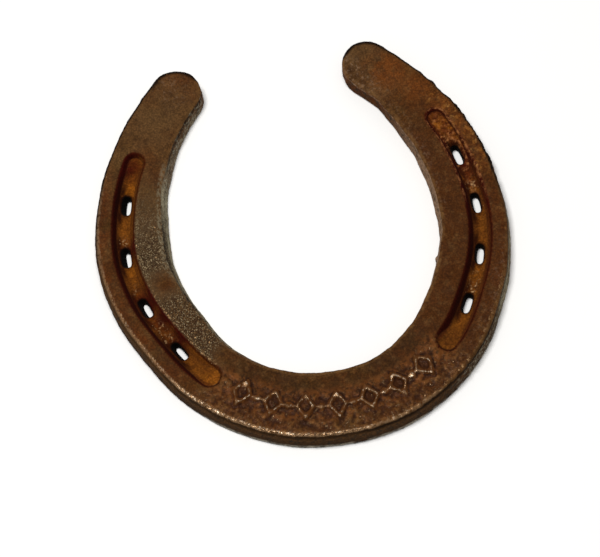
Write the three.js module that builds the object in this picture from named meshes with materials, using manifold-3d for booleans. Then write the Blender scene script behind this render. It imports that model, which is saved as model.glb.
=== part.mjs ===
// A horseshoe cast in one piece, in millimetres.
// It lies on its foot side at z = 0, with the ground side and its two nail creases up.
// +Y runs from the toe to the heels. The origin is on the foot side, under the middle of the outline's box.

import * as THREE from "three";
import * as BufferGeometryUtils from "three/addons/utils/BufferGeometryUtils.js";
import Module from "manifold-3d";

const wasm = await Module();
wasm.setup();

// Overall sizes, over the foot side, which is the wider one
const shoeWidth = 128;
const shoeLength = 130.8;
const thickness = 7.5;

// Web, the width of the bar on the ground side, at the toe, the quarters and the heels.
// The right heel came out of its mould a little fuller than the left one.
const toeWeb = 21.2;
const quarterWeb = 21.3;
const leftHeelWeb = 15.2;
const rightHeelWeb = 16.4;

// How far the walls lean out towards the foot side, and how their edges are rounded
const outerLean = 0.55;
const innerLean = 1.45;
const heelLean = 0.1;
const groundEdgeRadius = 0.9;
const footEdgeRadius = 0.6;

// The two halves of the mould met this far out of line, so the ground side sits to the left
const mouldShift = 1;

// Nail crease, the groove on the ground side of each branch
const creaseDepth = 3.2;
const creaseFloorWidth = 4.4;
const creaseToeWidth = 8.0;
const creaseHeelWidth = 6.9;
const creaseToeInset = 5.8;
const creaseHeelInset = 4.5;
const creaseStart = 36.2;
const creaseHeelGap = 24.4;
const creaseRimRadius = 0.5;
const creaseFloorRadius = 0.6;

// Nail holes in the floor of each crease, narrower on the foot side, and set by hand on each branch.
// The pins that cored them stood aslant, so each hole comes out this far to the right and to the rear.
const nailHoleCount = 4;
const leftFirstNailHole = 53.3;
const rightFirstNailHole = 54.8;
const leftNailHolePitch = 17.3;
const rightNailHolePitch = 17;
const nailHoleLength = 7.1;
const leftNailHoleWidth = 3.5;
const rightNailHoleWidth = 2.9;
const rightNailHoleInset = 0.3;
const nailHoleFootLength = 5.6;
const nailHoleFootWidth = 1.75;
const leftPinSlip = 0.75;
const rightPinSlip = 0.2;
const leftPinRearSlip = 0.5;
const rightPinRearSlip = 0.75;

// Raised row of open lozenges and round pellets across the toe
const lozengeCount = 7;
const lozengePitch = 9.7;
const lozengeHeight = 10.6;
const lozengeWidth = 7.4;
const lozengeStroke = 1.8;
const lozengeRise = 1;
const lozengeSlope = 0.45;
const lozengeInset = 10;
const pelletRadius = 1.4;
const pelletRise = 0.9;
const pelletShoulderShare = 0.8;
const pelletCrownShare = 0.4;

// How finely curves are stepped
const stepLength = 2.3;
const lengthDivisions = 600;
const creaseStepLength = 2.6;
const heelSteps = 12;
const creaseEndSteps = 8;
const edgeSteps = 3;
const holeSteps = 20;
const pelletSteps = 10;

// One overrun serves every cut, and one root depth every raised mark
const cutOverrun = 1;
const rootDepth = 0.5;

// Middle line of the ground side's web, from the toe to the centre of a heel's round end.
// Across: shares of its half width. Along: shares of its length.
const middleHalfWidth = (shoeWidth - quarterWeb) / 2 - outerLean;
const middleLength = shoeLength - outerLean - heelLean - (toeWeb + rightHeelWeb) / 2;
const middleFrontY = -shoeLength / 2 + outerLean + toeWeb / 2;
const frontShares = [
  [0.261, 0.016],
  [0.504, 0.071],
  [0.714, 0.160],
  [0.868, 0.282],
];
const leftRearShares = [
  [0.967, 0.395],
  [1.006, 0.527],
  [0.932, 0.727],
  [0.772, 0.886],
  [0.559, 1.003],
];
const rightRearShares = [
  [0.962, 0.395],
  [0.996, 0.527],
  [0.936, 0.727],
  [0.790, 0.886],
  [0.581, 0.998],
];

function middleLinePoint(side, [acrossShare, alongShare]) {
  const x = side * acrossShare * middleHalfWidth;
  const y = middleFrontY + alongShare * middleLength;
  return new THREE.Vector3(x, y, 0);
}

const leftPoints = [...frontShares, ...leftRearShares].map((shares) => middleLinePoint(-1, shares));
const rightPoints = [...frontShares, ...rightRearShares].map((shares) => middleLinePoint(1, shares));
const toePoint = middleLinePoint(1, [0, 0]);
const middleLine = new THREE.CatmullRomCurve3(
  [...leftPoints.reverse(), toePoint, ...rightPoints], false, "centripetal");
middleLine.arcLengthDivisions = lengthDivisions;
const branchLength = middleLine.getLength() / 2;

// The web widens from the toe to the quarters and narrows from there to the heels
const quarterStartShare = 0.55;
const quarterEndShare = 0.58;

function webAt(distance) {
  const share = Math.abs(distance) / branchLength;
  if (share < quarterEndShare) {
    return THREE.MathUtils.lerp(toeWeb, quarterWeb, THREE.MathUtils.smoothstep(share, 0, quarterStartShare));
  }
  const heelWeb = distance < 0 ? leftHeelWeb : rightHeelWeb;
  return THREE.MathUtils.lerp(quarterWeb, heelWeb, THREE.MathUtils.smoothstep(share, quarterEndShare, 1));
}

// The walls stand nearly upright at the heels
const uprightStartShare = 0.6;

function leanAt(distance, lean) {
  const share = Math.abs(distance) / branchLength;
  return THREE.MathUtils.lerp(lean, heelLean, THREE.MathUtils.smoothstep(share, uprightStartShare, 1));
}

// A place on the middle line, at a signed distance along it.
// Distance 0 is halfway along, at the toe, and distances to the left are negative.
// Its outward direction points away from the space between the branches.
function placeAt(distance) {
  const along = THREE.MathUtils.clamp(0.5 + distance / (2 * branchLength), 0, 1);
  const centre = middleLine.getPointAt(along);
  const forward = middleLine.getTangentAt(along);
  const outward = new THREE.Vector3(forward.y, -forward.x, 0);
  return { distance, centre, forward, outward };
}

function moveOutward(place, offset) {
  const centre = place.centre.clone().addScaledVector(place.outward, offset);
  return { ...place, centre };
}

function placesBetween(start, end, longestStep) {
  const count = Math.ceil((end - start) / longestStep);
  const places = [];
  for (let i = 0; i <= count; i++) {
    places.push(placeAt(THREE.MathUtils.lerp(start, end, i / count)));
  }
  return places;
}

// The foot side is moved this far to the right, which keeps the outline's box on the origin
const footShift = (mouldShift - outerLean) / 2;

function pointFrom(place, outwardReach, forwardReach, z) {
  const point = place.centre.clone();
  point.addScaledVector(place.outward, outwardReach);
  point.addScaledVector(place.forward, forwardReach);
  point.x += footShift - (mouldShift * z) / thickness;
  point.z = z;
  return point;
}

// A level ring round a band with round ends, anticlockwise seen from the ground side
function bandRing(places, outerReach, innerReach, endSteps, z) {
  const ring = [];
  const addEnd = (place, startReach, endReach, direction) => {
    for (let i = 1; i < endSteps; i++) {
      const turn = (Math.PI * i) / endSteps;
      const reach = THREE.MathUtils.lerp(startReach, endReach, i / endSteps);
      const outwardReach = direction * reach * Math.cos(turn);
      ring.push(pointFrom(place, outwardReach, direction * reach * Math.sin(turn), z));
    }
  };
  for (const place of places) {
    ring.push(pointFrom(place, outerReach(place), 0, z));
  }
  const last = places[places.length - 1];
  addEnd(last, outerReach(last), innerReach(last), 1);
  for (const place of [...places].reverse()) {
    ring.push(pointFrom(place, -innerReach(place), 0, z));
  }
  addEnd(places[0], innerReach(places[0]), outerReach(places[0]), -1);
  return ring;
}

// A closed solid from level rings that have the same number of points, lowest ring first
function solidFromRings(rings) {
  const size = rings[0].length;
  const vertProperties = new Float32Array(rings.flat().flatMap((point) => point.toArray()));
  const triangles = [];
  for (let level = 0; level + 1 < rings.length; level++) {
    for (let i = 0; i < size; i++) {
      const low = level * size + i;
      const lowNext = level * size + ((i + 1) % size);
      triangles.push(low, lowNext, lowNext + size);
      triangles.push(low, lowNext + size, low + size);
    }
  }
  const topStart = (rings.length - 1) * size;
  for (const [a, b, c] of THREE.ShapeUtils.triangulateShape(rings[0], [])) {
    triangles.push(c, b, a);
  }
  for (const [a, b, c] of THREE.ShapeUtils.triangulateShape(rings[rings.length - 1], [])) {
    triangles.push(topStart + a, topStart + b, topStart + c);
  }
  const mesh = new wasm.Mesh({ numProp: 3, vertProperties, triVerts: new Uint32Array(triangles) });
  return new wasm.Manifold(mesh);
}

// The bar: its walls lean out towards the foot side, with both edges rounded
function barSolid() {
  const places = placesBetween(-branchLength, branchLength, stepLength);
  const levels = [];
  for (let i = 0; i <= edgeSteps; i++) {
    const turn = (Math.PI / 2) * (i / edgeSteps);
    levels.push({ z: footEdgeRadius * (1 - Math.cos(turn)), inset: footEdgeRadius * (1 - Math.sin(turn)) });
  }
  for (let i = 0; i <= edgeSteps; i++) {
    const turn = (Math.PI / 2) * (i / edgeSteps);
    const z = thickness - groundEdgeRadius * (1 - Math.sin(turn));
    levels.push({ z, inset: groundEdgeRadius * (1 - Math.cos(turn)) });
  }
  const rings = levels.map(({ z, inset }) => {
    const depthShare = 1 - z / thickness;
    const reachWith = (lean) => (place) => {
      return webAt(place.distance) / 2 + leanAt(place.distance, lean) * depthShare - inset;
    };
    return bandRing(places, reachWith(outerLean), reachWith(innerLean), heelSteps, z);
  });
  return solidFromRings(rings);
}

// The space that one nail crease takes, with sloping walls, a round floor corner and a worn rim
const creaseEnd = branchLength - creaseHeelGap;

function creaseShare(distance) {
  return THREE.MathUtils.inverseLerp(creaseStart, creaseEnd, Math.abs(distance));
}

function creaseWidthAt(distance) {
  return THREE.MathUtils.lerp(creaseToeWidth, creaseHeelWidth, creaseShare(distance));
}

// How far outside the middle line the crease's own middle runs
function creaseOffsetAt(distance) {
  const inset = THREE.MathUtils.lerp(creaseToeInset, creaseHeelInset, creaseShare(distance));
  return webAt(distance) / 2 - inset - creaseWidthAt(distance) / 2;
}

function creasePlace(place) {
  return moveOutward(place, creaseOffsetAt(place.distance));
}

function creaseSolid(side) {
  const near = side * (creaseStart + creaseToeWidth / 2);
  const far = side * (creaseEnd - creaseHeelWidth / 2);
  const places = placesBetween(Math.min(near, far), Math.max(near, far), creaseStepLength).map(creasePlace);
  const floorZ = thickness - creaseDepth;
  const rimInset = (place) => creaseWidthAt(place.distance) / 2 - creaseRimRadius;
  const levels = [
    { z: floorZ, reach: () => creaseFloorWidth / 2 - creaseFloorRadius },
    { z: floorZ + creaseFloorRadius / 2, reach: () => creaseFloorWidth / 2 },
    { z: thickness - creaseRimRadius, reach: rimInset },
    { z: thickness, reach: (place) => creaseWidthAt(place.distance) / 2 },
    { z: thickness + cutOverrun, reach: (place) => creaseWidthAt(place.distance) / 2 },
  ];
  return solidFromRings(levels.map(({ z, reach }) => bandRing(places, reach, reach, creaseEndSteps, z)));
}

// One tapered nail hole, a rounded oblong along the crease
function nailHoleSolid(distance) {
  const onLeft = distance < 0;
  const place = moveOutward(creasePlace(placeAt(distance)), onLeft ? 0 : -rightNailHoleInset);
  const floorWidth = onLeft ? leftNailHoleWidth : rightNailHoleWidth;
  const pinSlip = onLeft ? leftPinSlip : rightPinSlip;
  const pinRearSlip = onLeft ? leftPinRearSlip : rightPinRearSlip;
  const floorZ = thickness - creaseDepth;
  const taperShare = cutOverrun / floorZ;
  const ringAt = (share) => {
    const length = THREE.MathUtils.lerp(nailHoleFootLength, nailHoleLength, share);
    const width = THREE.MathUtils.lerp(nailHoleFootWidth, floorWidth, share);
    const ring = [];
    for (let i = 0; i < holeSteps; i++) {
      const turn = (2 * Math.PI * i) / holeSteps;
      const across = Math.sign(Math.cos(turn)) * Math.sqrt(Math.abs(Math.cos(turn)));
      const along = Math.sign(Math.sin(turn)) * Math.sqrt(Math.abs(Math.sin(turn)));
      const point = pointFrom(place, (across * width) / 2, (along * length) / 2, share * floorZ);
      point.x += pinSlip * (1 - share);
      point.y += pinRearSlip * (1 - share);
      ring.push(point);
    }
    return ring;
  };
  return solidFromRings([ringAt(-taperShare), ringAt(1 + taperShare)]);
}

// Raised marks at the toe stand on the middle of the ground side's flat
function markPlace(distance) {
  return moveOutward(placeAt(distance), webAt(distance) / 2 - lozengeInset);
}

function lozengeRing(place, reachAcross, reachAlong, z) {
  return [
    pointFrom(place, reachAcross, 0, z),
    pointFrom(place, 0, reachAlong, z),
    pointFrom(place, -reachAcross, 0, z),
    pointFrom(place, 0, -reachAlong, z),
  ];
}

// An open lozenge: a sloping rhomb with a smaller rhomb cut out of its middle
function lozengeSolid(distance) {
  const place = markPlace(distance);
  const across = lozengeHeight / 2;
  const along = lozengeWidth / 2;
  const top = thickness + lozengeRise;
  const bottom = thickness - rootDepth;
  const diagonal = Math.hypot(across, along);
  const ringInset = (inset, z) => {
    const growth = (inset * diagonal) / (across * along);
    return lozengeRing(place, across * (1 - growth), along * (1 - growth), z);
  };
  const outside = [ringInset(0, bottom), ringInset(0, thickness), ringInset(lozengeSlope, top)];
  const innerInset = lozengeStroke - lozengeSlope;
  const inside = [
    ringInset(lozengeStroke, thickness - rootDepth - cutOverrun),
    ringInset(lozengeStroke, thickness),
    ringInset(innerInset, top),
    ringInset(innerInset, top + cutOverrun),
  ];
  return solidFromRings(outside).subtract(solidFromRings(inside));
}

// A low round pellet between two lozenges
function pelletSolid(distance) {
  const place = markPlace(distance);
  const ringAt = (reach, z) => {
    const ring = [];
    for (let i = 0; i < pelletSteps; i++) {
      const turn = (2 * Math.PI * i) / pelletSteps;
      ring.push(pointFrom(place, reach * Math.cos(turn), reach * Math.sin(turn), z));
    }
    return ring;
  };
  return solidFromRings([
    ringAt(pelletRadius, thickness - rootDepth),
    ringAt(pelletRadius, thickness),
    ringAt(pelletRadius * pelletShoulderShare, thickness + pelletRise * pelletShoulderShare),
    ringAt(pelletRadius * pelletCrownShare, thickness + pelletRise),
  ]);
}

// The finished casting: the bar, less its creases and nail holes, with the marks at the toe
function horseshoeSolid() {
  let solid = barSolid();
  for (const side of [-1, 1]) {
    solid = solid.subtract(creaseSolid(side));
  }
  for (let i = 0; i < nailHoleCount; i++) {
    solid = solid.subtract(nailHoleSolid(-leftFirstNailHole - i * leftNailHolePitch));
    solid = solid.subtract(nailHoleSolid(rightFirstNailHole + i * rightNailHolePitch));
  }
  for (let i = 0; i < lozengeCount; i++) {
    solid = solid.add(lozengeSolid((i - (lozengeCount - 1) / 2) * lozengePitch));
  }
  for (let i = 0; i + 1 < lozengeCount; i++) {
    solid = solid.add(pelletSolid((i - (lozengeCount - 2) / 2) * lozengePitch));
  }
  return solid;
}

function geometryFrom(solid) {
  const mesh = solid.getMesh();
  const geometry = new THREE.BufferGeometry();
  geometry.setAttribute("position", new THREE.BufferAttribute(mesh.vertProperties, 3));
  geometry.setIndex(new THREE.BufferAttribute(mesh.triVerts, 1));
  return BufferGeometryUtils.toCreasedNormals(geometry, Math.PI / 6);
}

const rustedIron = new THREE.MeshStandardMaterial({ color: 0x4b3224, roughness: 0.72, metalness: 0.35 });

const horseshoe = new THREE.Mesh(geometryFrom(horseshoeSolid()), rustedIron);
horseshoe.name = "horseshoe";

const part = new THREE.Group();
part.add(horseshoe);

export default part;
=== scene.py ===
# A worn iron horseshoe on a white table, ground side up.
# Lengths are in millimetres, as in the part's source, and times MM where Blender needs metres.
# Along the bar they count from the middle of the toe, the left branch negative, and across it from the
# bar's middle line, the inner side negative. Heights count from the foot side.

import math

import bpy
import numpy as np
from mathutils import Matrix, Vector


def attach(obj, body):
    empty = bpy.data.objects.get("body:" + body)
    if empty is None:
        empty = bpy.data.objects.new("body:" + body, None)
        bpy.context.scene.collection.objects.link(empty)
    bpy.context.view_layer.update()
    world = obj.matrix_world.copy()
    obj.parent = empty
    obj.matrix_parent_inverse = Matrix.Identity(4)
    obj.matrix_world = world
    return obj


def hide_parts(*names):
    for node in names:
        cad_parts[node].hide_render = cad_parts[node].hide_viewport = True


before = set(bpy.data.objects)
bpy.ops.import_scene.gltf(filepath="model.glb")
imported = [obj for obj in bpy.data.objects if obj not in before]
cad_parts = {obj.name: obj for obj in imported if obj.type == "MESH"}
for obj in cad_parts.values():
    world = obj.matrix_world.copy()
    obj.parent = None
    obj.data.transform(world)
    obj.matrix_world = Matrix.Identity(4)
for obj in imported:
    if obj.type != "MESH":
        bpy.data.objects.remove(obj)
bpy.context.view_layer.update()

MM = 0.001

# Sizes of the shoe, repeated from the part's source
SHOE_WIDTH = 128.0
SHOE_LENGTH = 130.8
THICKNESS = 7.5
TOE_WEB = 21.2
QUARTER_WEB = 21.3
LEFT_HEEL_WEB = 15.2
RIGHT_HEEL_WEB = 16.4
OUTER_LEAN = 0.55
HEEL_LEAN = 0.1
MOULD_SHIFT = 1.0
CREASE_DEPTH = 3.2
CREASE_TOE_WIDTH = 8.0
CREASE_HEEL_WIDTH = 6.9
CREASE_TOE_INSET = 5.8
CREASE_HEEL_INSET = 4.5
CREASE_START = 36.2
CREASE_HEEL_GAP = 24.4
NAIL_HOLE_COUNT = 4
LEFT_FIRST_NAIL_HOLE = 53.3
RIGHT_FIRST_NAIL_HOLE = 54.8
LEFT_NAIL_HOLE_PITCH = 17.3
RIGHT_NAIL_HOLE_PITCH = 17.0
RIGHT_NAIL_HOLE_INSET = 0.3
QUARTER_START_SHARE = 0.55
QUARTER_END_SHARE = 0.58
FLOOR_Z = THICKNESS - CREASE_DEPTH

# The middle line, as in the part's source: shares of its half width and of its length
MIDDLE_HALF_WIDTH = (SHOE_WIDTH - QUARTER_WEB) / 2 - OUTER_LEAN
MIDDLE_LENGTH = SHOE_LENGTH - OUTER_LEAN - HEEL_LEAN - (TOE_WEB + RIGHT_HEEL_WEB) / 2
MIDDLE_FRONT_Y = -SHOE_LENGTH / 2 + OUTER_LEAN + TOE_WEB / 2
FRONT_SHARES = [(0.261, 0.016), (0.504, 0.071), (0.714, 0.160), (0.868, 0.282)]
LEFT_REAR_SHARES = [(0.967, 0.395), (1.006, 0.527), (0.932, 0.727), (0.772, 0.886), (0.559, 1.003)]
RIGHT_REAR_SHARES = [(0.962, 0.395), (0.996, 0.527), (0.936, 0.727), (0.790, 0.886), (0.581, 0.998)]

# The mouth of a worn nail hole: about this wide, and twice as long
NAIL_HOLE_HALF_WIDTH = 1.7
NAIL_HOLE_STRETCH = 2

# How far the creases run out upwards at their ends
TOE_END_RISE = 2.4
LEFT_END_RISE = 1.2
RIGHT_END_RISE = 1.8
DEEPEST_FILL = 3.0


# The camera and the light

CAMERA_TILT = math.radians(25)
CAMERA_AZIMUTH = math.radians(-104.965)
CAMERA_ROLL = math.radians(-10.893)
CAMERA_TARGET = Vector((-3.841, -8.682, 0)) * MM
CAMERA_DISTANCE = 1.2
CAMERA_LENS = 235.43
SENSOR_WIDTH = 36.0


def camera_axes():
    """The camera's right, up and back directions."""
    back = Vector((
        math.sin(CAMERA_TILT) * math.cos(CAMERA_AZIMUTH),
        math.sin(CAMERA_TILT) * math.sin(CAMERA_AZIMUTH),
        math.cos(CAMERA_TILT),
    ))
    leaning_up = Vector((-math.sin(CAMERA_ROLL), math.cos(CAMERA_ROLL), 0))
    right = leaning_up.cross(back).normalized()
    return right, back.cross(right), back


def add_camera():
    right, up, back = camera_axes()
    bpy.ops.object.camera_add()
    camera = bpy.context.object
    camera.name = "camera"
    turn = Matrix((right, up, back)).transposed().to_4x4()
    camera.matrix_world = Matrix.Translation(CAMERA_TARGET + CAMERA_DISTANCE * back) @ turn
    camera.data.sensor_width = SENSOR_WIDTH
    camera.data.lens = CAMERA_LENS
    camera.data.clip_start = 0.01
    camera.data.clip_end = 20
    bpy.context.scene.camera = camera


def add_softbox(name, place, size, watts):
    """A square lamp that faces the shoe."""
    bpy.ops.object.light_add(type="AREA", location=place)
    lamp = bpy.context.object
    lamp.name = name
    lamp.rotation_euler = Vector(place).to_track_quat("Z", "Y").to_euler()
    lamp.data.shape = "SQUARE"
    lamp.data.size = size
    lamp.data.energy = watts


# Small helpers that place and join nodes

# Sockets of a Mix node, by number because their names repeat
MIX_AMOUNT = 0
MIX_VALUE_A = 2
MIX_VALUE_B = 3
MIX_COLOUR_A = 6
MIX_COLOUR_B = 7
MIX_COLOUR_RESULT = 2


def put(tree, kind, values=None, **settings):
    """Adds a node, sets its options, and sets or links its inputs."""
    node = tree.nodes.new(kind)
    for name, setting in settings.items():
        setattr(node, name, setting)
    for socket, value in (values or {}).items():
        if isinstance(value, bpy.types.NodeSocket):
            tree.links.new(value, node.inputs[socket])
        else:
            node.inputs[socket].default_value = value
    return node


def calc(tree, operation, first, second=0.0, third=0.0):
    node = put(tree, "ShaderNodeMath", {0: first, 1: second, 2: third}, operation=operation)
    return node.outputs[0]


def both(tree, *masks):
    """Where all the masks overlap."""
    result = masks[0]
    for mask in masks[1:]:
        result = calc(tree, "MULTIPLY", result, mask)
    return result


def either(tree, *masks):
    """Where any of the masks is."""
    result = masks[0]
    for mask in masks[1:]:
        result = calc(tree, "MAXIMUM", result, mask)
    return result


def mix_colours(tree, mask, under, over, blend="MIX"):
    values = {MIX_AMOUNT: mask, MIX_COLOUR_A: under, MIX_COLOUR_B: over}
    node = put(tree, "ShaderNodeMix", values, data_type="RGBA", blend_type=blend)
    return node.outputs[MIX_COLOUR_RESULT]


def mix_values(tree, mask, under, over):
    values = {MIX_AMOUNT: mask, MIX_VALUE_A: under, MIX_VALUE_B: over}
    return put(tree, "ShaderNodeMix", values, data_type="FLOAT").outputs[0]


def colour(red, green, blue):
    return (red, green, blue, 1.0)


def attribute(tree, name):
    node = put(tree, "ShaderNodeAttribute", attribute_type="GEOMETRY", attribute_name=name)
    return node.outputs["Fac"]


# Effects that the finish uses several times, each a group with its own inputs

def new_group(name, inputs, outputs):
    group = bpy.data.node_groups.new(name, "ShaderNodeTree")
    for label, kind, value in inputs:
        socket = group.interface.new_socket(label, in_out="INPUT", socket_type=kind)
        if value is not None:
            socket.default_value = value
    for label, kind in outputs:
        group.interface.new_socket(label, in_out="OUTPUT", socket_type=kind)
    start = group.nodes.new("NodeGroupInput")
    end = group.nodes.new("NodeGroupOutput")
    return group, start.outputs, end.inputs


def patches_group():
    """Cloudy patches. Cover is the share of the surface that they take, Size their width in mm."""
    inputs = [
        ("Vector", "NodeSocketVector", None),
        ("Size", "NodeSocketFloat", 5.0),
        ("Cover", "NodeSocketFloat", 0.5),
        ("Blur", "NodeSocketFloat", 0.1),
        ("Ragged", "NodeSocketFloat", 0.55),
        ("Draw", "NodeSocketFloat", 0.0),
    ]
    group, start, end = new_group("patches", inputs, [("Mask", "NodeSocketFloat")])
    scale = calc(group, "DIVIDE", 1.0, start["Size"])
    values = {
        "Vector": start["Vector"], "W": start["Draw"], "Scale": scale,
        "Detail": 4.0, "Roughness": start["Ragged"],
    }
    noise = put(group, "ShaderNodeTexNoise", values, noise_dimensions="4D").outputs[0]
    middle = calc(group, "MULTIPLY_ADD", start["Cover"], -0.5, 0.75)
    values = {
        "Value": noise,
        "From Min": calc(group, "SUBTRACT", middle, start["Blur"]),
        "From Max": calc(group, "ADD", middle, start["Blur"]),
    }
    mask = put(group, "ShaderNodeMapRange", values, interpolation_type="SMOOTHSTEP").outputs[0]
    group.links.new(mask, end["Mask"])
    return group


def crust_group():
    """Crystals of rust: a height for the bump and a fleck mask for the crystals that catch the light."""
    inputs = [
        ("Vector", "NodeSocketVector", None),
        ("Size", "NodeSocketFloat", 0.8),
        ("Flecks", "NodeSocketFloat", 0.1),
        ("Draw", "NodeSocketFloat", 0.0),
    ]
    outputs = [("Height", "NodeSocketFloat"), ("Fleck", "NodeSocketFloat")]
    group, start, end = new_group("crust", inputs, outputs)
    scale = calc(group, "DIVIDE", 1.0, start["Size"])
    values = {
        "Vector": start["Vector"], "W": start["Draw"], "Scale": scale,
        "Detail": 3.0, "Roughness": 0.62,
    }
    noise = put(group, "ShaderNodeTexNoise", values, noise_dimensions="4D").outputs[0]
    values = {"Vector": start["Vector"], "W": start["Draw"], "Scale": scale, "Randomness": 1.0}
    cells = put(group, "ShaderNodeTexVoronoi", values, voronoi_dimensions="4D").outputs["Distance"]
    hump = calc(group, "SUBTRACT", 1.0, cells)
    height = calc(group, "MULTIPLY_ADD", hump, 0.45, calc(group, "MULTIPLY", noise, 0.9))
    middle = calc(group, "MULTIPLY_ADD", start["Flecks"], -0.9, 0.98)
    values = {"Value": height, "From Min": middle, "From Max": calc(group, "ADD", middle, 0.06)}
    fleck = put(group, "ShaderNodeMapRange", values, interpolation_type="SMOOTHSTEP").outputs[0]
    group.links.new(height, end["Height"])
    group.links.new(fleck, end["Fleck"])
    return group


PATCHES = patches_group()
CRUST = crust_group()


# The middle line of the bar, and where each point of the surface lies along it and across it

# How finely the line is stepped, how many vertices are measured at once, and a gap beyond any other
STEPS_PER_STRETCH = 80
VERTICES_AT_ONCE = 5000
FAR_AWAY = 99.0


def middle_line_point(side, shares):
    across, along = shares
    return np.array([side * across * MIDDLE_HALF_WIDTH, MIDDLE_FRONT_Y + along * MIDDLE_LENGTH])


def middle_line():
    """Points on the line, their distance from the toe, and the directions forward and outward."""
    left = [middle_line_point(-1, shares) for shares in FRONT_SHARES + LEFT_REAR_SHARES]
    right = [middle_line_point(1, shares) for shares in FRONT_SHARES + RIGHT_REAR_SHARES]
    knots = left[::-1] + [middle_line_point(1, (0, 0))] + right
    knots = [2 * knots[0] - knots[1]] + knots + [2 * knots[-1] - knots[-2]]
    points = []
    for before, start, end, after in zip(knots, knots[1:], knots[2:], knots[3:]):
        stretches = ((before, start), (start, end), (end, after))
        gaps = [math.sqrt(np.linalg.norm(b - a)) for a, b in stretches]
        leave = (start - before) / gaps[0] - (end - before) / (gaps[0] + gaps[1])
        leave = (leave + (end - start) / gaps[1]) * gaps[1]
        arrive = (end - start) / gaps[1] - (after - start) / (gaps[1] + gaps[2])
        arrive = (arrive + (after - end) / gaps[2]) * gaps[1]
        for t in np.linspace(0, 1, STEPS_PER_STRETCH, endpoint=False):
            points.append(
                start + leave * t + (3 * (end - start) - 2 * leave - arrive) * t**2
                + (2 * (start - end) + leave + arrive) * t**3
            )
    points.append(knots[-2])
    points = np.array(points)
    distances = np.concatenate([[0], np.cumsum(np.linalg.norm(np.diff(points, axis=0), axis=1))])
    forward = np.gradient(points, axis=0)
    forward /= np.linalg.norm(forward, axis=1)[:, None]
    outward = np.column_stack([forward[:, 1], -forward[:, 0]])
    return points, distances - distances[-1] / 2, forward, outward


def ease(value, start, end):
    """0 at start and beyond it, 1 at end and beyond it, smooth between them."""
    share = np.clip((value - start) / (end - start), 0, 1)
    return share * share * (3 - 2 * share)


def between(value, low, high, fade):
    """1 from low to high, fading to 0 outside them."""
    return ease(value, low - fade, low) * ease(value, high + fade, high)


def blob(along, across, centre, reach):
    """A soft round patch on the bar, centred at (along, across)."""
    return ease(np.hypot(along - centre[0], across - centre[1]), reach, 0)


def spots(along, across, places):
    """Several soft round patches, listed as (along, across, reach, strength). The strongest counts."""
    return np.maximum.reduce([
        blob(along, across, (place_along, place_across), reach) * strength
        for place_along, place_across, reach, strength in places
    ])


def places_and_normals(mesh):
    """Where each vertex is, in metres, and which way it faces."""
    places = np.empty(len(mesh.vertices) * 3)
    mesh.vertices.foreach_get("co", places)
    normals = np.empty(len(mesh.vertices) * 3)
    mesh.vertices.foreach_get("normal", normals)
    return places.reshape(-1, 3), normals.reshape(-1, 3)


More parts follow.
